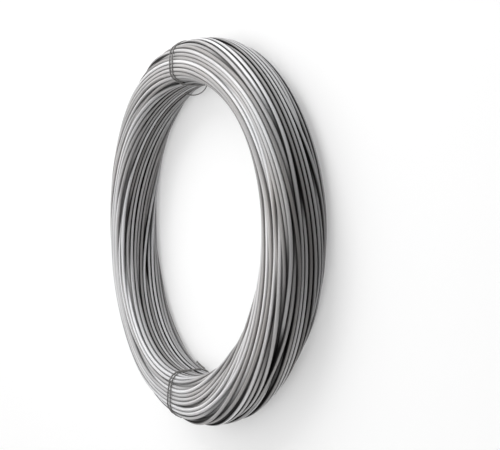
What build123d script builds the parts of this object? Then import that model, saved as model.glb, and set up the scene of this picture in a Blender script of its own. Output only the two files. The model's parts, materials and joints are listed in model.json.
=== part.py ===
"""A coil of drawn welding filler wire, held together by two binding wires."""
import os
from math import cos, radians, sin, tan

from build123d import *

# The filler wire and the coil that it is wound into, in millimetres.
WIRE_DIAMETER = 4.0
TURN_GAP = 0.5
BORE_DIAMETER = 300.0
WOUND_THICKNESS = 50.0
COIL_WIDTH = 50.0
BORE_CORNER = 12.0
RIM_CORNER = 18.0

# The binding wires, each wrapped twice round the bundle. They bite into it, so that their
# wraps lie just under the turns beside them.
TIE_DIAMETER = 1.2
TIE_SEAT = 0.3
TIE_FLUSH = 0.3
WRAP_SPACING = 6.0
TIE_ANGLES = [94.0, 260.0]

# Sizes that follow from those above. A wire is drawn with six sides.
BORE_RADIUS = BORE_DIAMETER / 2
RIM_RADIUS = BORE_RADIUS + WOUND_THICKNESS
WIRE_RADIUS = WIRE_DIAMETER / 2
WIRE_SIDES = 6
FLANK_ANGLE = radians(180 / WIRE_SIDES)
TIE_DEPTH = TIE_FLUSH + TIE_DIAMETER / 2
NOTCH_DEPTH = TIE_FLUSH + TIE_DIAMETER + TIE_SEAT
NOTCH_WIDTH = WRAP_SPACING + TIE_DIAMETER + 2 * TIE_SEAT
BEND_CHORDS = 4


def section_outline(inset):
    """Points round the coil's section, drawn in by inset, with each corner as short chords."""
    near = BORE_RADIUS + BORE_CORNER
    far = RIM_RADIUS - RIM_CORNER
    corners = [
        (near, BORE_CORNER, BORE_CORNER - inset, 180),
        (far, RIM_CORNER, RIM_CORNER - inset, 270),
        (far, COIL_WIDTH - RIM_CORNER, RIM_CORNER - inset, 0),
        (near, COIL_WIDTH - BORE_CORNER, BORE_CORNER - inset, 90),
    ]
    points = []
    for x, y, radius, start in corners:
        for chord in range(BEND_CHORDS + 1):
            turn = radians(start + 90 * chord / BEND_CHORDS)
            points.append((x + radius * cos(turn), y + radius * sin(turn)))
    return points


def tie_plane(angle):
    """Plane through the coil's axis at a tie: x runs outwards from the axis, y runs up."""
    outwards = (cos(radians(angle)), sin(radians(angle)), 0)
    across = (sin(radians(angle)), -cos(radians(angle)), 0)
    return Plane(origin=(0, 0, 0), x_dir=outwards, z_dir=across)


# The lay line goes round the section half a wire inside it, from the inner edge of one end
# round the rim to the inner edge of the other.
with BuildLine() as lay:
    low_end = Line((BORE_RADIUS + BORE_CORNER, WIRE_RADIUS), (RIM_RADIUS - RIM_CORNER, WIRE_RADIUS))
    low_rim = JernArc(low_end @ 1, (1, 0), RIM_CORNER - WIRE_RADIUS, 90)
    rim = Line(low_rim @ 1, (RIM_RADIUS - WIRE_RADIUS, COIL_WIDTH - RIM_CORNER))
    high_rim = JernArc(rim @ 1, (0, 1), RIM_CORNER - WIRE_RADIUS, 90)
    high_end = Line(high_rim @ 1, (BORE_RADIUS + BORE_CORNER, COIL_WIDTH - WIRE_RADIUS))
lay_line = lay.wire()
turn_count = int(lay_line.length / (WIRE_DIAMETER + TURN_GAP))
half_turn = lay_line.length / turn_count / 2
root_height = WIRE_RADIUS - half_turn * tan(FLANK_ANGLE)
resting_turn = int(low_end.length / 2 / (2 * half_turn))
resting_turns = [resting_turn, turn_count - 1 - resting_turn]


def off_lay(turn, height, slide=0.0):
    """Point at a turn's place on the lay line, raised off it and slid along it."""
    place = turn / turn_count
    along = lay_line % place
    outwards = Vector(along.Y, -along.X)
    return (lay_line @ place) + outwards * height + along * slide


# The coil is one turned solid. The outer turns show side by side on both ends and round the
# rim, each as the two outer sides of its six-sided section, and the bore is plain. The middle
# turn of each end is flat on top, and the coil rests on it.
bore_slant = BORE_CORNER * (1 - sin(radians(45)))
low_corner = Vector(BORE_RADIUS + bore_slant, bore_slant)
high_corner = Vector(BORE_RADIUS + bore_slant, COIL_WIDTH - bore_slant)
profile = [high_corner, Vector(BORE_RADIUS, COIL_WIDTH - BORE_CORNER)]
profile += [Vector(BORE_RADIUS, BORE_CORNER), low_corner]
for turn in range(turn_count):
    if turn in resting_turns:
        profile.append(off_lay(turn + 0.5, WIRE_RADIUS, -half_turn / 2))
        profile.append(off_lay(turn + 0.5, WIRE_RADIUS, half_turn / 2))
    else:
        profile.append(off_lay(turn + 0.5, WIRE_RADIUS))
    if turn < turn_count - 1:
        profile.append(off_lay(turn + 1, root_height))

with BuildPart() as wire_coil:
    with BuildSketch(Plane.XZ):
        with BuildLine():
            Polyline(*profile, close=True)
        make_face()
    revolve(axis=Axis.Z)
    for angle in TIE_ANGLES:
        with BuildSketch(tie_plane(angle)):
            with Locations((BORE_RADIUS + WOUND_THICKNESS / 2, COIL_WIDTH / 2)):
                Rectangle(WOUND_THICKNESS + 2 * WIRE_DIAMETER, COIL_WIDTH + 2 * WIRE_DIAMETER)
            with BuildLine():
                Polyline(*section_outline(NOTCH_DEPTH), close=True)
            make_face(mode=Mode.SUBTRACT)
        extrude(amount=NOTCH_WIDTH / 2, both=True, mode=Mode.SUBTRACT)

# A binding wire starts half way up the bore, goes round, crosses to its second wrap on the
# bore's side and ends beside its start.
half_spacing = WRAP_SPACING / 2
wrap = section_outline(TIE_DEPTH)
bore_middle = (BORE_RADIUS + TIE_DEPTH, COIL_WIDTH / 2)
route = [(*bore_middle, -half_spacing)]
route += [(*point, -half_spacing) for point in wrap]
route += [(*point, half_spacing) for point in wrap]
route += [(*bore_middle, half_spacing)]

ties = []
for angle in TIE_ANGLES:
    with BuildPart() as tie:
        with BuildLine(tie_plane(angle)) as tie_route:
            Polyline(*route)
        line = tie_route.wire()
        with BuildSketch(Plane(origin=line @ 0, z_dir=line % 0)):
            RegularPolygon(TIE_DIAMETER / 2, WIRE_SIDES, major_radius=False)
        sweep(path=line, transition=Transition.RIGHT)
    ties.append(tie.part)

os.makedirs("parts", exist_ok=True)
wire_coil.part.label = "wire_coil"
export_step(wire_coil.part, "parts/wire_coil.step")
for number, tie in enumerate(ties, start=1):
    tie.label = f"tie_wire_{number}"
    export_step(tie, f"parts/tie_wire_{number}.step")
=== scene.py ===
"""A tied coil of drawn filler wire, lying on its end on a pale studio floor."""
import json
import logging
import math
from dataclasses import dataclass
from enum import Enum
from typing import Any

import bpy
import numpy as np
from mathutils import Matrix, Vector


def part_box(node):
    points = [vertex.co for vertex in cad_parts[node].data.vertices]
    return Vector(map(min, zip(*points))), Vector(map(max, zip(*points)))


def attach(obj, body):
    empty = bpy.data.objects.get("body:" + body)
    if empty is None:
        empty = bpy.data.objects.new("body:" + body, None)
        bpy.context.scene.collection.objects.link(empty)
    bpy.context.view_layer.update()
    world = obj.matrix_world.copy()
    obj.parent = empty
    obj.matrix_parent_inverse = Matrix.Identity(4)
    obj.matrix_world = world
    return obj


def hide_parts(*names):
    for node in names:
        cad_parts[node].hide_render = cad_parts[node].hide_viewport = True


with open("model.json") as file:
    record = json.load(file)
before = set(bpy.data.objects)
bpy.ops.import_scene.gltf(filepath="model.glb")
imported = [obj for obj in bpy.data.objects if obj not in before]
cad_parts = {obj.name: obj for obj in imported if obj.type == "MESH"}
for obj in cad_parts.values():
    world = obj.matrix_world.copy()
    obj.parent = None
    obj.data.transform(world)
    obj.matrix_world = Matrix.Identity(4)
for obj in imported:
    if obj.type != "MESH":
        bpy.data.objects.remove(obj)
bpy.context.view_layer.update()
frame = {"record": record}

log = logging.getLogger("filler_wire_coil")

MM = 0.001
FULL_TURN = 2 * math.pi
TINY = 1e-9
CLOSEST = np.float32(1e-4)
WHITE = (1.0, 1.0, 1.0, 1.0)
IMAGE_WIDTH = 500
IMAGE_HEIGHT = 450
SEEN_RAYS = ("Camera", "Glossy", "Transmission")


def unit(vectors: np.ndarray) -> np.ndarray:
    """Vectors divided by their own lengths, along the last axis."""
    return vectors / np.linalg.norm(vectors, axis=-1, keepdims=True)


def smooth_step(share: np.ndarray) -> np.ndarray:
    """Zero below 0, one above 1 and an S-shaped rise between them."""
    held = np.clip(share, 0.0, 1.0)
    return held * held * (3 - 2 * held)


def lengths_along(points: np.ndarray) -> np.ndarray:
    """How far along a line each of its points lies, from 0 at the first."""
    return np.append(0.0, np.linalg.norm(np.diff(points, axis=0), axis=1).cumsum())


class Value:
    """A shader socket that adds a Math node for each operator used on it."""

    def __init__(self, shader: "Shader", socket: bpy.types.NodeSocket | None) -> None:
        """Keeps the socket and the shader that its nodes go into."""
        self.shader = shader
        self.socket = socket

    def _maths(self, operation: str, first: Any, second: Any) -> "Value":
        """Adds one Math node.

        Args:
            operation: Blender's name for the sum.
            first: The left side, a number or a Value.
            second: The right side, a number or a Value.

        Returns:
            The node's result.
        """
        return self.shader.node("ShaderNodeMath", {"operation": operation}, {0: first, 1: second})

    def __add__(self, other: Any) -> "Value":
        """This plus the other."""
        return self._maths("ADD", self, other)

    __radd__ = __add__

    def __sub__(self, other: Any) -> "Value":
        """This less the other."""
        return self._maths("SUBTRACT", self, other)

    def __rsub__(self, other: Any) -> "Value":
        """The other less this."""
        return self._maths("SUBTRACT", other, self)

    def __mul__(self, other: Any) -> "Value":
        """This times the other."""
        return self._maths("MULTIPLY", self, other)

    __rmul__ = __mul__


class Shader:
    """The node tree of a material or of the world, with one method that makes every node in it."""

    def __init__(self, owner: bpy.types.Material | bpy.types.World) -> None:
        """Starts an empty tree in its owner."""
        self.owner = owner
        owner.use_nodes = True
        self.tree = owner.node_tree
        self.tree.nodes.clear()

    def node(
        self,
        kind: str,
        settings: dict[str, Any],
        inputs: dict[str | int, Any],
        output: str | int = 0,
    ) -> Value:
        """Adds a node.

        Args:
            kind: The node's Blender type.
            settings: Its properties, which are set before its sockets.
            inputs: A number, colour or Value for each named or numbered socket.
            output: The name or number of the socket to return.

        Returns:
            The chosen output, without a socket for a node that ends the tree.
        """
        made = self.tree.nodes.new(kind)
        for name, setting in settings.items():
            setattr(made, name, setting)
        for name, given in inputs.items():
            if isinstance(given, Value):
                self.tree.links.new(given.socket, made.inputs[name])
            else:
                made.inputs[name].default_value = given
        return Value(self, made.outputs[output] if made.outputs else None)

    def place(self) -> Value:
        """Where a point lies in its object's own frame."""
        return self.node("ShaderNodeTexCoord", {}, {}, "Object")

    def attribute(self, name: str) -> Value:
        """The number that the mesh keeps under that name."""
        return self.node("ShaderNodeAttribute", {"attribute_name": name}, {}, "Fac")

    def noise(self, vector: Value, scale: float, detail: float) -> Value:
        """Noise of one size, between 0 and 1.

        Args:
            vector: Where it is looked up.
            scale: How often it changes in one unit.
            detail: How many finer layers it has.

        Returns:
            The noise.
        """
        inputs = {"Vector": vector, "Scale": scale, "Detail": detail}
        return self.node("ShaderNodeTexNoise", {}, inputs)

    def streaks(self, along: float, around: float, detail: float) -> Value:
        """Noise on the wire's own map, drawn out into streaks.

        Args:
            along: How often it changes in a metre of wire.
            around: How often it changes on the way round the wire.
            detail: How many finer layers it has.

        Returns:
            The noise.
        """
        on_wire = self.node("ShaderNodeUVMap", {"uv_map": "wire"}, {})
        inputs = {"Vector": on_wire, "Scale": (along, around, 1.0)}
        return self.noise(self.node("ShaderNodeMapping", {}, inputs), 1.0, detail)

    def bumped(self, height: Value, strength: float, depth: float) -> Value:
        """The direction of a surface that a height makes uneven.

        Args:
            height: The height, between 0 and 1.
            strength: How much of it shows.
            depth: What a height of 1 stands for, in metres.

        Returns:
            The direction.
        """
        inputs = {"Strength": strength, "Distance": depth, "Height": height}
        return self.node("ShaderNodeBump", {}, inputs)

    def seen(self) -> Value:
        """One where a camera ray, a reflection or a ray through glass arrives, else zero."""
        rays = [self.node("ShaderNodeLightPath", {}, {}, f"Is {ray} Ray") for ray in SEEN_RAYS]
        return self.held(sum(rays[1:], rays[0]))

    def held(self, share: Value) -> Value:
        """A number kept between 0 and 1."""
        return self.node("ShaderNodeClamp", {}, {0: share})

    def mixed(self, share: Any, first: Any, second: Any) -> Value:
        """Two colours mixed.

        Args:
            share: How much of the second there is.
            first: The colour at share 0.
            second: The colour at share 1.

        Returns:
            The mixed colour.
        """
        settings = {"data_type": "RGBA", "blend_type": "MIX"}
        return self.node("ShaderNodeMix", settings, {0: share, 6: first, 7: second}, 2)

    def finish(self, surface: Value) -> bpy.types.Material | bpy.types.World:
        """Ends the tree in a surface.

        Args:
            surface: What the owner shows.

        Returns:
            The owner.
        """
        kind = "World" if isinstance(self.owner, bpy.types.World) else "Material"
        self.node(f"ShaderNodeOutput{kind}", {}, {"Surface": surface})
        return self.owner


@dataclass(frozen=True)
class DrawnSteel:
    """Dull drawn steel: fine lines along the wire, a tone for each stretch of it, painted shade in
    the gaps.

    The mesh's turn_tone, the lines and the scratches choose between the pale and the dark tone,
    each with its own share, and the mesh's painted shade darkens them.
    """

    pale: tuple[float, float, float] = (0.88, 0.883, 0.90)
    dark: tuple[float, float, float] = (0.26, 0.25, 0.247)
    warm: tuple[float, float, float] = (0.62, 0.575, 0.53)
    # Near-black colour of the painted shade.
    grime: tuple[float, float, float] = (0.012, 0.011, 0.011)
    turn_share: float = 0.85
    line_share: float = 0.4
    scratch_share: float = 0.4
    darkening: float = 0.32
    warm_share: float = 0.3
    warm_scale: float = 9.0
    warm_contrast: float = 2.4
    warm_cut: float = 1.0
    warm_detail: float = 2.0
    metallic: float = 0.75
    specular: float = 0.12
    roughness: float = 0.56
    roughness_spread: float = 0.14
    # How much rougher the steel is under the painted shade.
    painted_shade_roughness: float = 0.3
    line_along: float = 14.0
    line_around: float = 9.0
    line_detail: float = 3.0
    scratch_along: float = 40.0
    scratch_around: float = 60.0
    scratch_detail: float = 2.0
    scratch_depth: float = 0.06 * MM
    scratch_strength: float = 0.6

    def material(self) -> bpy.types.Material:
        """Makes the finish.

        Returns:
            The new material, for a mesh with a map along the wire, turn_tone and the painted shade.
        """
        shader = Shader(bpy.data.materials.new("drawn_steel"))
        lines = shader.streaks(self.line_along, self.line_around, self.line_detail)
        scratches = shader.streaks(self.scratch_along, self.scratch_around, self.scratch_detail)
        # Painted shade from the mesh: it mixes in the near-black colour and makes the steel rougher
        # and less metallic.
        grime = shader.attribute("grime")
        turns = shader.attribute("turn_tone") * self.turn_share
        marks = lines * self.line_share + scratches * self.scratch_share
        share = shader.held(turns + marks - self.darkening)
        steel = shader.mixed(share, (*self.dark, 1.0), (*self.pale, 1.0))
        patches = shader.noise(shader.place(), self.warm_scale, self.warm_detail)
        tint = shader.held(patches * self.warm_contrast - self.warm_cut) * self.warm_share
        tinted = shader.mixed(tint, steel, (*self.warm, 1.0))
        worn = self.roughness + (1 - lines) * self.roughness_spread
        inputs = {
            "Base Color": shader.mixed(grime, tinted, (*self.grime, 1.0)),
            "Roughness": worn + grime * self.painted_shade_roughness,
            "Metallic": self.metallic - grime * self.metallic,
            "Specular IOR Level": self.specular,
            "Normal": shader.bumped(scratches, self.scratch_strength, self.scratch_depth),
        }
        return shader.finish(shader.node("ShaderNodeBsdfPrincipled", {}, inputs))


@dataclass(frozen=True)
class AnnealedSteel:
    """Dark annealed steel, the finish of the thin binding wires."""

    colour: tuple[float, float, float] = (0.30, 0.295, 0.29)
    scale: tuple[float, float, float] = (0.14, 0.135, 0.13)
    metallic: float = 0.8
    roughness: float = 0.4
    roughness_spread: float = 0.15
    patch_scale: float = 180.0
    patch_detail: float = 2.0
    scale_depth: float = 0.03 * MM
    scale_strength: float = 0.3

    def material(self) -> bpy.types.Material:
        """Makes the finish, mottled by scale.

        Returns:
            The new material.
        """
        shader = Shader(bpy.data.materials.new("annealed_steel"))
        patches = shader.noise(shader.place(), self.patch_scale, self.patch_detail)
        inputs = {
            "Base Color": shader.mixed(patches, (*self.colour, 1.0), (*self.scale, 1.0)),
            "Roughness": self.roughness + patches * self.roughness_spread,
            "Metallic": self.metallic,
            "Normal": shader.bumped(patches, self.scale_strength, self.scale_depth),
        }
        return shader.finish(shader.node("ShaderNodeBsdfPrincipled", {}, inputs))


@dataclass(frozen=True)
class Tube:
    """A round wire as a grid of points, with what its mesh keeps at each of them.

    Attributes:
        points: Rings along the wire, of shape (rings, sides, 3), in metres.
        numbers: Named numbers for each point, of shape (rings, sides).
    """

    points: np.ndarray
    numbers: dict[str, np.ndarray]

    def quads(self) -> np.ndarray:
        """Finds the corners of the quads between neighbouring rings.

        Returns:
            Ring and side of each quad's corners, of shape (2, rings - 1, sides, 4).
        """
        rings, sides, _ = self.points.shape
        corners = np.array([[0, 0, 1, 1], [0, 1, 1, 0]])[:, None, None]
        return np.indices((rings - 1, sides))[..., None] + corners

    def corners(self) -> np.ndarray:
        """Lists the corners of all faces.

        Returns:
            Point numbers: the quads in order, then the first and the last cap.
        """
        rings, sides, _ = self.points.shape
        ring, side = self.quads()
        first = np.arange(sides)[::-1]
        last = (rings - 1) * sides + np.arange(sides)
        return np.concatenate([(ring * sides + side % sides).ravel(), first, last])

    def starts(self) -> np.ndarray:
        """Finds where each face begins in the corners.

        Returns:
            Places in the list of corners.
        """
        rings, sides, _ = self.points.shape
        quads = 4 * np.arange((rings - 1) * sides + 1)
        return np.append(quads, quads[-1] + sides)

    def map(self) -> np.ndarray:
        """Lays the wire's surface out flat.

        Returns:
            For each corner, metres along the wire and the share of the way round it.
        """
        sides = self.points.shape[1]
        length = lengths_along(self.points.mean(axis=1))
        ring, side = self.quads()
        around = np.stack([length[ring], side / sides], -1).reshape(-1, 2)
        return np.concatenate([around, np.zeros((2 * sides, 2))])

    def piece(self, name: str) -> bpy.types.Object:
        """Makes a smooth mesh with closed ends.

        Args:
            name: The piece's name.

        Returns:
            The new object, linked to the scene.
        """
        mesh = bpy.data.meshes.new(name)
        corners, starts = self.corners(), self.starts()
        mesh.vertices.add(self.points.size // 3)
        mesh.vertices.foreach_set("co", self.points.ravel().astype(np.float32))
        mesh.loops.add(len(corners))
        mesh.loops.foreach_set("vertex_index", corners.astype(np.int32))
        mesh.polygons.add(len(starts))
        mesh.polygons.foreach_set("loop_start", starts.astype(np.int32))
        mesh.polygons.foreach_set("use_smooth", np.arange(len(starts)) < len(starts) - 2)
        mesh.update(calc_edges=True)
        layer = mesh.uv_layers.new(name="wire")
        layer.data.foreach_set("uv", self.map().ravel().astype(np.float32))
        for number, values in self.numbers.items():
            kept = mesh.attributes.new(number, "FLOAT", "POINT")
            kept.data.foreach_set("value", values.ravel().astype(np.float32))
        piece = bpy.data.objects.new(name, mesh)
        bpy.context.scene.collection.objects.link(piece)
        return piece


def swept(path: np.ndarray, across: np.ndarray, radius: float, sides: int) -> np.ndarray:
    """A circle carried along a path.

    At each point of the path the ring is the centre plus radius times the cosine of the turn
    along the first cross direction and its sine along the second, which is the path's own
    direction crossed with the first.

    Args:
        path: Centre points, of shape (rings, 3).
        across: A direction for each ring, which is squared off against the path.
        radius: The wire's radius.
        sides: Points round a ring.

    Returns:
        Ring points, of shape (rings, sides, 3).
    """
    ahead = unit(np.gradient(path, axis=0))
    first = unit(across - (across * ahead).sum(-1, keepdims=True) * ahead)
    second = np.cross(ahead, first)
    turn = np.linspace(0, FULL_TURN, sides, endpoint=False)[:, None]
    ring = np.cos(turn) * first[:, None] + np.sin(turn) * second[:, None]
    return path[:, None] + radius * ring


@dataclass(frozen=True)
class CoilForm:
    """The room that the bundle of turns takes round the coil's axis, in millimetres.

    A place in the bundle's section is its way out from the section's middle and its way up.
    """

    bore_radius: float
    rim_radius: float
    width: float
    tie_angles: tuple[float, ...]
    bore_corner: float = 13.0
    rim_corner: float = 19.0
    oval: float = 2.0
    three_lobed: float = 2.8
    lobe_angle: float = math.radians(9.0)
    thick_change: float = 0.05
    pinch: float = 1.5
    pinch_reach: float = 40.0

    @property
    def middle_radius(self) -> float:
        """From the axis to the middle of the section."""
        return (self.bore_radius + self.rim_radius) / 2

    def ring_radius(self, angle: np.ndarray) -> np.ndarray:
        """From the axis to the section's middle: a circle, a little oval and three-lobed."""
        lean = angle - self.lobe_angle
        oval = self.oval * np.cos(2 * lean)
        return self.middle_radius + oval + self.three_lobed * np.cos(3 * lean)

    def tightness(self, angle: np.ndarray) -> np.ndarray:
        """How far the ties draw the bundle in: a bell-shaped dip at each of them."""
        away = np.stack([np.angle(np.exp(1j * (angle - tie))) for tie in self.tie_angles])
        return self.pinch * np.exp(-((away * self.middle_radius / self.pinch_reach) ** 2)).sum(0)

    def half_thickness(self, angle: np.ndarray) -> np.ndarray:
        """Half the section's size away from the axis, thinnest a quarter turn from the start."""
        half = (self.rim_radius - self.bore_radius) / 2
        return half * (1 - self.thick_change * np.sin(angle)) - self.tightness(angle)

    def half_width(self, angle: np.ndarray) -> np.ndarray:
        """Half the section's size along the axis."""
        return self.width / 2 - self.tightness(angle)

    def half_sizes(self, angle: np.ndarray) -> np.ndarray:
        """Half the section's two sizes, along a new last axis."""
        return np.stack([self.half_thickness(angle), self.half_width(angle)], -1)

    def beyond(self, places: np.ndarray, angle: np.ndarray) -> tuple[np.ndarray, np.ndarray]:
        """How far places lie outside the rounded section, and which way is out.

        The section is a rectangle with rounded corners, so a place past a corner's centre is
        measured from that centre, and any other from the nearest side.

        Args:
            places: Places in the section, of shape (..., angles, 2).
            angle: The angle of each section.

        Returns:
            The distance, negative inside, and the outward direction.
        """
        corner = np.where(places[..., :1] > 0, self.rim_corner, self.bore_corner)
        past = np.abs(places) - (self.half_sizes(angle) - corner)
        round_part = np.maximum(past, 0.0)
        reach = np.linalg.norm(round_part, axis=-1, keepdims=True)
        flat = np.minimum(past.max(-1, keepdims=True), 0.0)
        nearest = past >= past.max(-1, keepdims=True)
        out = np.where(reach > 0, round_part / np.maximum(reach, TINY), nearest)
        return (reach + flat - corner)[..., 0], out * np.sign(places)

    def in_space(self, places: np.ndarray, angle: np.ndarray) -> np.ndarray:
        """Places in the section carried round the axis.

        Args:
            places: Places in the section, of shape (..., 2), in millimetres.
            angle: Each place's angle round the axis.

        Returns:
            Points in metres, of shape (..., 3).
        """
        radius = self.ring_radius(angle) + places[..., 0]
        height = self.width / 2 + places[..., 1]
        return np.stack([radius * np.cos(angle), radius * np.sin(angle), height], -1) * MM


@dataclass(frozen=True)
class PaintedShade:
    """Painted shade on the wound wire: on deep turns, between turns, on the rim and in the bore.

    Attributes:
        deep_start: How deep a turn lies where the painted shade begins to cover it, in wire radii.
        deep_fade: How much deeper it is all covered, in wire radii.
        gap_facing: How far a point faces out of the bundle where the painted shade begins, at most
            1.
        gap_fade: How much less it faces out where it is all covered.
        rim_spread: How much further up its sides a turn is covered at the rim.
        end_spread: How much less far it is covered on the ends.
        end_shade_cut: How much of the painted shade is taken off the ends.
        rim_shade: How dark the painted shade is on the rim's +X side, which is darkest in the
            photo.
        rim_shade_fade: How quickly that painted shade fades on the way round, as a power.
        bore_shade: How dark the painted shade in the bore is.
    """

    deep_start: float = 1.5
    deep_fade: float = 1.2
    gap_facing: float = 0.9
    gap_fade: float = 0.4
    rim_spread: float = 0.1
    end_spread: float = 0.15
    end_shade_cut: float = 0.6
    rim_shade: float = 0.6
    rim_shade_fade: float = 10.0
    bore_shade: float = 0.26

    def shade_sheet(self, outwards: np.ndarray, angle: np.ndarray) -> np.ndarray:
        """Painted shade in the bore and on the rim's +X side, set by the photo's tones.

        Args:
            outwards: How far each place on the bundle faces away from the axis.
            angle: Each place's angle round the axis.

        Returns:
            Numbers between 0 and 1.
        """
        # Painted shade on the rim, darkest on its +X side and fading on the way round, and evenly
        # in the bore.
        near_side = ((1 + np.cos(angle)) / 2) ** self.rim_shade_fade
        rim, bore = np.maximum(outwards, 0), np.maximum(-outwards, 0)
        return self.rim_shade * rim * near_side + self.bore_shade * bore

    def on_wire(
        self, depth: np.ndarray, out: np.ndarray, facing: np.ndarray, angle: np.ndarray
    ) -> np.ndarray:
        """How much painted shade lies on the wire: on deep turns, in the gaps beside others, on the
        rim and in the bore.

        Args:
            depth: How deep each place along the wire lies, of shape (places, 1), in wire radii.
            out: Which way is out of the bundle there, of shape (places, 2).
            facing: How far the wire's points face that way, of shape (places, points).
            angle: Each place's angle round the axis, of shape (places, 1).

        Returns:
            Numbers between 0 and 1, of shape (places, points).
        """
        end = np.abs(out[:, 1:])
        rim = np.maximum(out[:, :1], 0)
        # Painted shade on turns that lie deep in the bundle.
        buried = smooth_step((depth - self.deep_start) / self.deep_fade)
        covered = self.gap_facing + self.rim_spread * rim - self.end_spread * end
        # Painted shade on the sides of each turn that face into the bundle, between turns.
        in_gaps = smooth_step((covered - facing) / self.gap_fade)
        # Less painted shade on the ends, except where they meet the rim.
        left = np.maximum(buried, in_gaps) * (1 - self.end_shade_cut * end * (1 - rim))
        return np.maximum(left, self.shade_sheet(out[:, :1], angle))


@dataclass
class WireCoil:
    """One filler wire wound round and round, its turns crossing each other at shallow angles.

    Lengths are in millimetres.

    Attributes:
        twist: How far the bundle is twisted one way and back, in radians.
        squareness: How square the disc of lanes becomes, as a power.
        stations: How often the turns change lanes on the way round.
        near_reach: How far apart neighbouring lanes are at most, in mean spacings.
        far_reach: How far apart the lanes of straying turns are, in mean spacings.
        swap_share: How many neighbours swap at a station, for each turn.
        stray_share: How many turns stray at a station, for each turn.
        steps: Places along each turn.
        settling: Rounds of settling with a stiff wire.
        easing: Rounds of settling after that.
        push_share: How much of an overlap one round takes away at either turn.
        shown_depth: How deep a turn stops counting as shown, in wire diameters.
        gap_share: The gap between turns that are shown, in wire diameters.
        stiff_reaches: Over how many steps the wire springs back at first.
        eased_reaches: Over how many steps it does so later.
        unevenness: How far turns may lie below the outline.
        depth_knots: How often that depth changes in a turn.
        depth_power: How few turns lie deep, as a power.
    """

    form: CoilForm
    finish: DrawnSteel
    # The painted shade on the wire.
    grime: PaintedShade
    wire_radius: float = 2.0
    turns: int = 137
    twist: float = 1.1
    twist_lead: float = math.radians(40.0)
    squareness: int = 3
    stations: int = 5
    near_reach: float = 1.4
    far_reach: tuple[float, float] = (1.8, 3.2)
    swap_share: float = 0.24
    stray_share: float = 0.05
    steps: int = 96
    jitter: float = 0.15
    settling: int = 240
    easing: int = 160
    push_share: float = 0.24
    shown_depth: float = 1.5
    gap_share: float = 0.04
    outward_pull: float = 0.015
    stiffness: float = 0.06
    stiff_reaches: tuple[int, ...] = (3, 2, 1)
    eased_reaches: tuple[int, ...] = (2, 1)
    unevenness: float = 2.2
    depth_knots: int = 3
    depth_power: int = 3
    sides: int = 12
    pieces: int = 4
    seed: int = 7

    def __post_init__(self) -> None:
        """Winds the wire."""
        self.random = np.random.default_rng(self.seed)
        self.angle = np.linspace(0, FULL_TURN, self.steps, endpoint=False)
        self.places = self.settled(self.threaded())

    def lanes(self) -> np.ndarray:
        """Spreads the turns evenly over a disc of radius 1.

        Each one is the golden angle further round than the last, and its distance from the
        middle is the square root of its share of the disc.

        Returns:
            The lanes' places, of shape (turns, 2).
        """
        number = np.arange(self.turns)
        radius = np.sqrt((number + 0.5) / self.turns)
        turn = number * math.pi * (3 - math.sqrt(5))
        return np.stack([radius * np.cos(turn), radius * np.sin(turn)], -1)

    def moves(self, lanes: np.ndarray) -> np.ndarray:
        """Which lane each lane's turn moves to between one station and the next.

        Neighbours swap at random, and a few turns swap with ones further off. In the last
        stretch more neighbours swap, until all the turns are one wire.

        Args:
            lanes: The lanes' places.

        Returns:
            Lane numbers, of shape (stations, turns).
        """
        spacing = math.sqrt(math.pi / self.turns)
        apart = np.linalg.norm(lanes[:, None] - lanes[None], axis=-1) / spacing
        near = np.argwhere(np.triu(apart < self.near_reach, 1))
        low, high = self.far_reach
        far = np.argwhere(np.triu((apart > low) & (apart < high), 1))
        moves = np.tile(np.arange(self.turns), (self.stations, 1))
        for move in moves:
            free = np.ones(self.turns, bool)
            for pairs, share in ((far, self.stray_share), (near, self.swap_share)):
                for pair in self.random.permutation(pairs)[: int(share * self.turns)]:
                    if free[pair].all():
                        free[pair] = False
                        move[pair] = move[pair[::-1]]
        loop = self.loops(moves)
        for pair in self.random.permutation(near):
            if loop[pair[0]] != loop[pair[1]]:
                loop[loop == loop[pair[1]]] = loop[pair[0]]
                swap = np.arange(self.turns)
                swap[pair] = pair[::-1]
                moves[-1] = swap[moves[-1]]
        return moves

    def loops(self, moves: np.ndarray) -> np.ndarray:
        """Finds the closed loops that the wire would make.

        Args:
            moves: Which lane each lane's turn moves to at each station.

        Returns:
            A number for each lane, the same for all lanes of one loop.
        """
        whole = np.arange(self.turns)
        for move in moves:
            whole = move[whole]
        loop = np.arange(self.turns)
        for _ in range(self.turns):
            loop = np.minimum(loop, loop[whole])
        return loop

    def threaded(self) -> np.ndarray:
        """Follows the wire through its lanes.

        The disc of lanes is stretched to the section: a place's distance from the middle is
        scaled by the reach of a rounded rectangle in its direction. The bundle is twisted one
        way and back again on its way round.

        Returns:
            Places in the section, of shape (turns, steps, 2), turn after turn along the wire.
        """
        lanes = self.lanes()
        moves = self.moves(lanes)
        lane, order = 0, []
        for _ in range(self.turns):
            for move in moves:
                order.append(lane)
                lane = move[lane]
        knots = lanes[order + order[:1]]
        station = np.linspace(0, len(order), self.turns * self.steps, endpoint=False)
        along = [np.interp(station, np.arange(len(knots)), axis) for axis in knots.T]
        across, up = np.reshape(along, (2, self.turns, self.steps))
        twisted = self.twist * np.sin(self.angle + self.twist_lead)
        cosine, sine = np.cos(twisted), np.sin(twisted)
        disc = np.stack([across * cosine - up * sine, across * sine + up * cosine], -1)
        ahead = np.abs(unit(disc)) / (self.form.half_sizes(self.angle) - self.wire_radius)
        reach = (ahead ** self.squareness).sum(-1, keepdims=True) ** (-1 / self.squareness)
        return disc * reach

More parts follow.
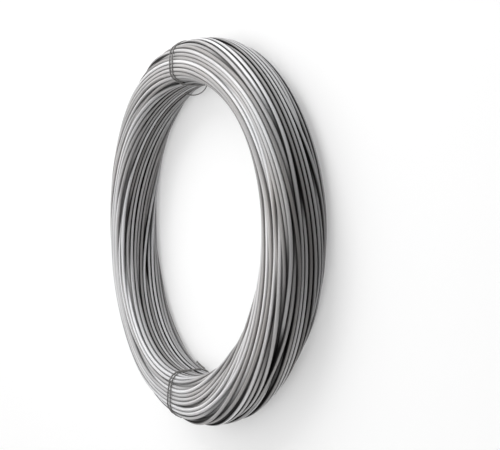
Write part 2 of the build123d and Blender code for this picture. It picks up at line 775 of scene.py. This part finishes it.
    def sunk(self) -> np.ndarray:
        """Chooses how far each turn must stay below the outline, changing slowly along it.

        Returns:
            Depths of the wire's middle, of shape (turns, steps).
        """
        knots = self.random.random(self.depth_knots * self.turns) ** self.depth_power
        where = np.arange(self.turns * self.steps) * self.depth_knots / self.steps
        depth = np.interp(where, np.arange(len(knots)), knots, period=len(knots))
        return self.wire_radius + self.unevenness * depth.reshape(self.turns, self.steps)

    def pushed(self, places: np.ndarray, shown: np.ndarray) -> np.ndarray:
        """Moves turns that are too close half-way apart.

        Args:
            places: Places in the section, of shape (turns, steps, 2).
            shown: One for a turn at the surface, where a gap is kept, and zero for a deep one.

        Returns:
            The new places.
        """
        apart = places[:, None] - places[None]
        distance = np.sqrt((apart ** 2).sum(-1)) + CLOSEST
        reach = 2 * self.wire_radius * (1 + self.gap_share * shown[:, None] * shown[None])
        push = np.maximum(reach / distance - 1, 0)
        push[np.arange(self.turns), np.arange(self.turns)] = 0
        return places + self.push_share * (apart * push[..., None]).sum(1)

    def sprung(self, places: np.ndarray, reach: int) -> np.ndarray:
        """Moves each point of the wire towards the cubic through others on both sides of it.

        Args:
            places: Places in the section, of shape (turns, steps, 2).
            reach: Steps along the wire from one of those points to the next.

        Returns:
            The new places.
        """
        wire = places.reshape(-1, 2)
        beside = np.roll(wire, reach, 0) + np.roll(wire, -reach, 0)
        beyond = np.roll(wire, 2 * reach, 0) + np.roll(wire, -2 * reach, 0)
        return (wire + self.stiffness * (4 * beside - beyond - 6 * wire)).reshape(places.shape)

    def settled(self, places: np.ndarray) -> np.ndarray:
        """Lets the turns push each other apart inside the section.

        Each round moves a turn a little outwards or, if it lies too far out, back in. The wire
        is stiff at first and gives way more in the last rounds, after which nothing is left
        standing past the outline.

        Args:
            places: Places in the section, of shape (turns, steps, 2).

        Returns:
            The settled places, of the same shape.
        """
        places = (places + self.random.normal(0, self.jitter, places.shape)).astype(np.float32)
        inset = self.sunk()
        for step in range(self.settling + self.easing):
            eased = step >= self.settling
            beyond, out = self.form.beyond(places, self.angle)
            shift = np.minimum(-beyond - inset, 0 if eased else self.outward_pull)
            shown = smooth_step(self.shown_depth + beyond / (2 * self.wire_radius))
            places = (places + shift[..., None] * out).astype(np.float32)
            places = self.pushed(places, shown.astype(np.float32))
            for reach in self.eased_reaches if eased else self.stiff_reaches:
                places = self.sprung(places, reach)
        beyond, out = self.form.beyond(places, self.angle)
        return places - np.maximum(beyond + self.wire_radius, 0)[..., None] * out

    def overlaps(self) -> np.ndarray:
        """Finds how deep the closest pair of turns overlaps.

        Returns:
            The overlap at each step, in millimetres.
        """
        apart = np.linalg.norm(self.places[:, None] - self.places[None], axis=-1)
        apart[np.arange(self.turns), np.arange(self.turns)] = np.inf
        return 2 * self.wire_radius - apart.min((0, 1))

    def section_at(self, angle: float) -> np.ndarray:
        """Finds all the turns in the section at an angle, between two steps.

        Args:
            angle: The angle round the axis.

        Returns:
            Places in the section, of shape (turns, 2).
        """
        share = angle / FULL_TURN * self.steps
        low = self.places[:, int(share) % self.steps]
        high = self.places[:, (int(share) + 1) % self.steps]
        return low + (share - int(share)) * (high - low)

    def doubled(self) -> np.ndarray:
        """Puts a place half-way between each two along the wire, on a cubic through four.

        Returns:
            Places in the section, up to the wire's last one.
        """
        wire = self.places.reshape(-1, 2).astype(float)
        beside = wire + np.roll(wire, -1, 0)
        between = (9 * beside - np.roll(wire, 1, 0) - np.roll(wire, -2, 0)) / 16
        return np.stack([wire, between], 1).reshape(-1, 2)[:-2]

    def build(self) -> list[bpy.types.Object]:
        """Makes the wire's pieces: a circle in each section, carried along the wire.

        A tone is drawn for every half turn and changes evenly from one to the next.

        Returns:
            The pieces, one after the other along the wire.
        """
        wire = self.doubled()
        angle = np.arange(len(wire)) * FULL_TURN / (2 * self.steps)
        turn = np.linspace(0, FULL_TURN, self.sides, endpoint=False)
        ring = self.wire_radius * np.stack([np.cos(turn), np.sin(turn)], -1)
        points = self.form.in_space(wire[:, None] + ring, angle[:, None])
        knots = self.random.random(2 * self.turns + 1)
        tone = np.interp(angle / math.pi, np.arange(len(knots)), knots)
        beyond, out = self.form.beyond(wire, angle)
        depth = -beyond[:, None] / self.wire_radius
        facing = out @ ring.T / self.wire_radius
        # The tone and the painted shade for every point, kept on the mesh.
        numbers = {
            "turn_tone": np.broadcast_to(tone[:, None], points.shape[:2]),
            "grime": self.grime.on_wire(depth, out, facing, angle[:, None]),
        }
        cuts = np.linspace(0, len(wire) - 1, self.pieces + 1).astype(int)
        material = self.finish.material()
        made = []
        for number, (start, end) in enumerate(zip(cuts[:-1], cuts[1:]), start=1):
            part = slice(start, end + 1)
            tube = Tube(points[part], {name: values[part] for name, values in numbers.items()})
            piece = tube.piece(f"filler_wire_{number}")
            piece.data.materials.append(material)
            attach(piece, "root")
            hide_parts("wire_coil")
            made.append(piece)
        return made


class TieEnd(Enum):
    """How a binding wire's ends are left."""

    SLACK_LOOP = "a slack loop"
    TWIST = "a twist"


@dataclass
class TieWire:
    """A thin wire drawn tight round the bundle twice, with its ends left on the bore's side.

    A stretch of it is an array of rows: the way out from the section's middle and the way up,
    in millimetres, and the angle round the axis. The places of the loop and of the twist are
    as in_bore takes them.

    Attributes:
        node: The CAD node that it replaces.
        spacing: How far apart the two wraps are, in millimetres.
        start_turn: In which direction of the section the wraps start.
        over_start: Where the wire starts to move over to its second wrap.
        over_length: How much further round it is there.
        loop_tuck: Where a slack loop is tucked in.
        loop_pull: Where the loop heads for.
        loop_droop: Where it comes back from.
        twist_pull: Where twisted ends are bent towards.
        twist_tip: Where twisted ends stop.
        twist_turns: How often they go round each other.
        twist_size: How far out of the middle each one runs, in wire radii.
        twist_open: How far along them they begin to part.
        path_step: How far apart the final points are, in millimetres.
        bend_easing: How often the bends are eased.
    """

    coil: WireCoil
    finish: AnnealedSteel
    node: str
    angle: float
    end: TieEnd
    radius: float = 0.6
    spacing: float = 6.0
    sides: int = 10
    start_turn: float = 1.2 * math.pi
    wrap_points: int = 720
    over_start: float = 2.6 * math.pi
    over_length: float = 0.8 * math.pi
    loop_tuck: tuple[float, float, float] = (-1.5, -7.0, 12.5)
    loop_pull: tuple[float, float, float] = (6.5, -11.0, 11.0)
    loop_droop: tuple[float, float, float] = (6.5, -23.0, 7.0)
    twist_pull: tuple[float, float, float] = (1.5, -16.0, -2.0)
    twist_tip: tuple[float, float, float] = (0.8, -17.0, -8.0)
    twist_turns: float = 4.0
    twist_size: float = 1.4
    twist_open: float = 0.65
    bow_points: int = 60
    path_step: float = 0.5
    bend_easing: int = 3

    def hull(self, turn: np.ndarray) -> np.ndarray:
        """Where a tight wire touches the bundle.

        In each direction it lies against the turn of filler wire that reaches furthest that
        way, at that turn's middle plus both radii.

        Args:
            turn: Directions in the section.

        Returns:
            Places in the section.
        """
        section = self.coil.section_at(self.angle)
        way = np.stack([np.cos(turn), np.sin(turn)], -1)
        furthest = section[(way @ section.T).argmax(1)]
        return furthest + (self.coil.wire_radius + self.radius) * way

    def wraps(self) -> np.ndarray:
        """Winds the wire round twice, moving over to the second wrap in the bore.

        Returns:
            The stretch from one end's start to the other's.
        """
        last_turn = self.start_turn + 2 * FULL_TURN
        turn = np.linspace(self.start_turn, last_turn, self.wrap_points)
        over = 0.5 - smooth_step((turn - self.over_start) / self.over_length)
        angle = self.angle + self.spacing * over / self.coil.form.middle_radius
        return np.column_stack([self.hull(turn), angle])

    def in_bore(self, inwards: float, up: float, degrees: float) -> np.ndarray:
        """Finds a place in the bore.

        Args:
            inwards: Millimetres inwards from its wall.
            up: Millimetres up from its middle.
            degrees: Degrees round from the tie.

        Returns:
            One row of a stretch.
        """
        angle = self.angle + math.radians(degrees)
        wall = self.coil.form.half_thickness(np.array([angle]))[0]
        return np.array([-wall - inwards, up, angle])

    def bowed(self, *controls: np.ndarray) -> np.ndarray:
        """Bends a stretch along a cubic curve.

        Each control's weight is its share in the third power of the way left plus the way gone.

        Args:
            controls: The curve's four controls, each one a row.

        Returns:
            The stretch, without its last control.
        """
        share = np.linspace(0, 1, self.bow_points, endpoint=False)[:, None]
        rest = 1 - share
        weights = np.hstack([rest ** 3, 3 * share * rest ** 2, 3 * share ** 2 * rest, share ** 3])
        return weights @ np.stack(controls)

    def twisted(self, start: np.ndarray, middle: np.ndarray, phase: float) -> np.ndarray:
        """One end wound round the other: a helix that opens towards where the end comes from.

        Args:
            start: Where this end leaves its wrap.
            middle: Half-way between both ends' starts.
            phase: Where on the helix this end runs.

        Returns:
            The stretch, from its tip to its start.
        """
        tip = self.in_bore(*self.twist_tip)
        axis = self.bowed(tip, (tip + middle) / 2, self.in_bore(*self.twist_pull), middle)
        share = np.linspace(0, 1, len(axis), endpoint=False)[:, None]
        turn = FULL_TURN * self.twist_turns * share + phase
        inwards, upwards = self.twist_size * self.radius * np.stack([np.cos(turn), np.sin(turn)])
        helix = np.hstack([inwards, upwards, np.zeros_like(turn)])
        opening = smooth_step((share - self.twist_open) / (1 - self.twist_open))
        return axis + (1 - opening) * helix + opening * (start - middle)

    def rows(self) -> np.ndarray:
        """Joins the wraps and the ends.

        Returns:
            The whole wire as one stretch.
        """
        wraps = self.wraps()
        if self.end is TieEnd.SLACK_LOOP:
            places = (self.loop_tuck, self.loop_pull, self.loop_droop)
            tuck, pull, droop = (self.in_bore(*place) for place in places)
            return np.concatenate([self.bowed(tuck, pull, droop, wraps[0]), wraps])
        middle = (wraps[0] + wraps[-1]) / 2
        first = self.twisted(wraps[0], middle, 0.0)
        last = self.twisted(wraps[-1], middle, math.pi)[::-1]
        return np.concatenate([first, wraps, last])

    def path(self) -> np.ndarray:
        """Finds the middle line of the whole wire, evenly spaced and with its bends eased.

        Returns:
            Points in metres, of shape (points, 3).
        """
        rows = self.rows()
        points = self.coil.form.in_space(rows[:, :2], rows[:, 2])
        length = lengths_along(points)
        even = np.linspace(0, length[-1], int(length[-1] / (self.path_step * MM)))
        points = np.stack([np.interp(even, length, axis) for axis in points.T], -1)
        for _ in range(self.bend_easing):
            points[1:-1] = (points[:-2] + 2 * points[1:-1] + points[2:]) / 4
        return points

    def build(self) -> bpy.types.Object:
        """Makes the piece.

        Returns:
            The new object.
        """
        path = self.path()
        along = np.array([-math.sin(self.angle), math.cos(self.angle), 0.0])
        points = swept(path, np.broadcast_to(along, path.shape), self.radius * MM, self.sides)
        piece = Tube(points, {}).piece(self.node.replace("tie_wire", "binding_wire"))
        piece.data.materials.append(self.finish.material())
        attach(piece, "root")
        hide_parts(self.node)
        return piece


@dataclass(frozen=True)
class Panel:
    """A square lamp that faces the coil.

    Attributes:
        name: The lamp's name.
        place: Where it hangs, in metres.
        size: Its side, in metres.
        power: Its power in watts.
    """

    name: str
    place: tuple[float, float, float]
    size: float
    power: float

    def build(self) -> None:
        """Hangs the lamp."""
        light = bpy.data.lights.new(self.name, "AREA")
        light.shape = "SQUARE"
        light.size = self.size
        light.energy = self.power
        lamp = bpy.data.objects.new(self.name, light)
        lamp.location = self.place
        lamp.rotation_mode = "QUATERNION"
        lamp.rotation_quaternion = (-Vector(self.place)).to_track_quat("-Z", "Y")
        bpy.context.scene.collection.objects.link(lamp)


@dataclass(frozen=True)
class Studio:
    """The pale floor, the soft light and the camera.

    From glow_start on the floor looks whiter, and the sky looks white below backdrop_top. The
    floor's lengths are in metres, and the coil's width, the camera's distance and its sensor
    in millimetres. The coil's middle falls on middle_pixel, given as column and row.
    """

    width: float
    floor_size: float = 8.0
    floor_colour: tuple[float, float, float] = (0.95, 0.95, 0.95)
    floor_glow: float = 0.35
    glow_start: float = 0.5
    glow_reach: float = 0.7
    sky_strength: float = 0.1
    backdrop_top: float = 0.5
    backdrop_fade: float = 0.2
    panels: tuple[Panel, ...] = (
        Panel("overhead_panel", (-0.8, 0.4, 1.3), 2.2, 17.0),
        Panel("side_panel", (-0.3, 1.8, 1.1), 1.6, 28.0),
        Panel("back_panel", (-1.8, 0.1, 0.9), 2.4, 9.5),
        Panel("front_panel", (0.7, -0.2, 1.6), 1.6, 12.0),
        Panel("low_side_panel", (0.2, -1.8, 0.9), 1.6, 4.5),
    )
    camera_distance: float = 972.7
    camera_height_angle: float = math.radians(27.17)
    camera_side_angle: float = math.radians(0.83)
    camera_roll: float = math.radians(-1.03)
    focal_pixels: float = 946.5
    middle_pixel: tuple[float, float] = (199.9, 229.4)
    sensor_width: float = 36.0

    def floor(self) -> None:
        """Makes the floor, which looks white far from the coil and takes its shadow near by."""
        half = self.floor_size / 2
        corners = [(-half, -half, 0), (half, -half, 0), (half, half, 0), (-half, half, 0)]
        mesh = bpy.data.meshes.new("floor")
        mesh.from_pydata(corners, [], [(0, 1, 2, 3)])
        floor = bpy.data.objects.new("floor", mesh)
        bpy.context.scene.collection.objects.link(floor)
        shader = Shader(bpy.data.materials.new("pale_floor"))
        plain = shader.node("ShaderNodeBsdfDiffuse", {}, {"Color": (*self.floor_colour, 1.0)})
        white = shader.node("ShaderNodeEmission", {}, {"Color": WHITE, "Strength": 1.0})
        length = {"operation": "LENGTH"}
        away = shader.node("ShaderNodeVectorMath", length, {0: shader.place()}, "Value")
        far = shader.held((away - self.glow_start) * (1 / self.glow_reach))
        share = shader.seen() * (self.floor_glow + far * (1 - self.floor_glow))
        surface = shader.node("ShaderNodeMixShader", {}, {0: share, 1: plain, 2: white})
        mesh.materials.append(shader.finish(surface))

    def sky(self) -> None:
        """Lights the studio evenly from all round, and looks white low down, as a backdrop does."""
        world = bpy.data.worlds.new("studio")
        bpy.context.scene.world = world
        shader = Shader(world)
        place = shader.node("ShaderNodeTexCoord", {}, {}, "Generated")
        height = shader.node("ShaderNodeSeparateXYZ", {}, {0: place}, "Z")
        low = shader.held((self.backdrop_top - height) * (1 / self.backdrop_fade))
        dim, white = (
            shader.node("ShaderNodeBackground", {}, {"Color": WHITE, "Strength": strength})
            for strength in (self.sky_strength, 1.0)
        )
        inputs = {0: shader.seen() * low, 1: dim, 2: white}
        shader.finish(shader.node("ShaderNodeMixShader", {}, inputs))

    def camera(self) -> None:
        """Sets up the camera.

        It looks at the middle of the coil, is rolled until the image's top is the coil's +Y side,
        and is then turned until the coil's middle falls on its own pixel.
        """
        level = math.cos(self.camera_height_angle)
        back = Vector((
            level * math.cos(self.camera_side_angle),
            level * math.sin(self.camera_side_angle),
            math.sin(self.camera_height_angle),
        ))
        right = (-back).cross(Vector((0, 1, 0))).normalized()
        up = right.cross(-back)
        axes = Matrix((right, up, back)).transposed() @ Matrix.Rotation(self.camera_roll, 3, "Z")
        column, row = self.middle_pixel
        seen = Vector((
            (column - IMAGE_WIDTH / 2) / self.focal_pixels,
            (IMAGE_HEIGHT / 2 - row) / self.focal_pixels,
            -1,
        ))
        axes = axes @ seen.rotation_difference(Vector((0, 0, -1))).to_matrix()
        data = bpy.data.cameras.new("camera")
        data.sensor_width = self.sensor_width
        data.lens = self.focal_pixels * self.sensor_width / IMAGE_WIDTH
        camera = bpy.data.objects.new("camera", data)
        place = Vector((0, 0, self.width / 2)) + back * self.camera_distance
        camera.matrix_world = Matrix.Translation(place * MM) @ axes.to_4x4()
        bpy.context.scene.collection.objects.link(camera)
        bpy.context.scene.camera = camera

    def build(self) -> None:
        """Makes the floor, the light and the camera."""
        self.floor()
        for panel in self.panels:
            panel.build()
        self.sky()
        self.camera()
        bpy.context.scene.view_settings.view_transform = "Standard"


def tie_angle(node: str) -> float:
    """Finds where a CAD tie is.

    Args:
        node: The tie's node.

    Returns:
        The angle round the axis at which its box has its middle.
    """
    low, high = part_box(node)
    middle = (low + high) / 2
    return math.atan2(middle.y, middle.x) % FULL_TURN


def main() -> None:
    """Builds the coil, its ties and the studio in order."""
    logging.basicConfig(level=logging.INFO, format="%(name)s: %(message)s")
    low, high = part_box("wire_coil")
    bore = next(mount for mount in frame["record"]["mounts"] if mount["name"] == "bore")
    ties = {"tie_wire_1": TieEnd.SLACK_LOOP, "tie_wire_2": TieEnd.TWIST}
    form = CoilForm(
        bore_radius=bore["dims"]["r_mm"],
        rim_radius=high.x / MM,
        width=(high.z - low.z) / MM,
        tie_angles=tuple(tie_angle(node) for node in ties),
    )
    coil = WireCoil(form, DrawnSteel(), PaintedShade())
    overlap = coil.overlaps()
    log.info("wound %d turns", coil.turns)
    log.info("deepest overlap %.2f mm, mean %.2f mm", overlap.max(), overlap.mean())
    for piece in coil.build():
        log.info("%s: %d faces", piece.name, len(piece.data.polygons))
    for (node, end), angle in zip(ties.items(), form.tie_angles):
        piece = TieWire(coil, AnnealedSteel(), node, angle, end).build()
        log.info("%s: %d faces, ends in %s", piece.name, len(piece.data.polygons), end.value)
    Studio(form.width).build()


if __name__ == "__main__":
    main()
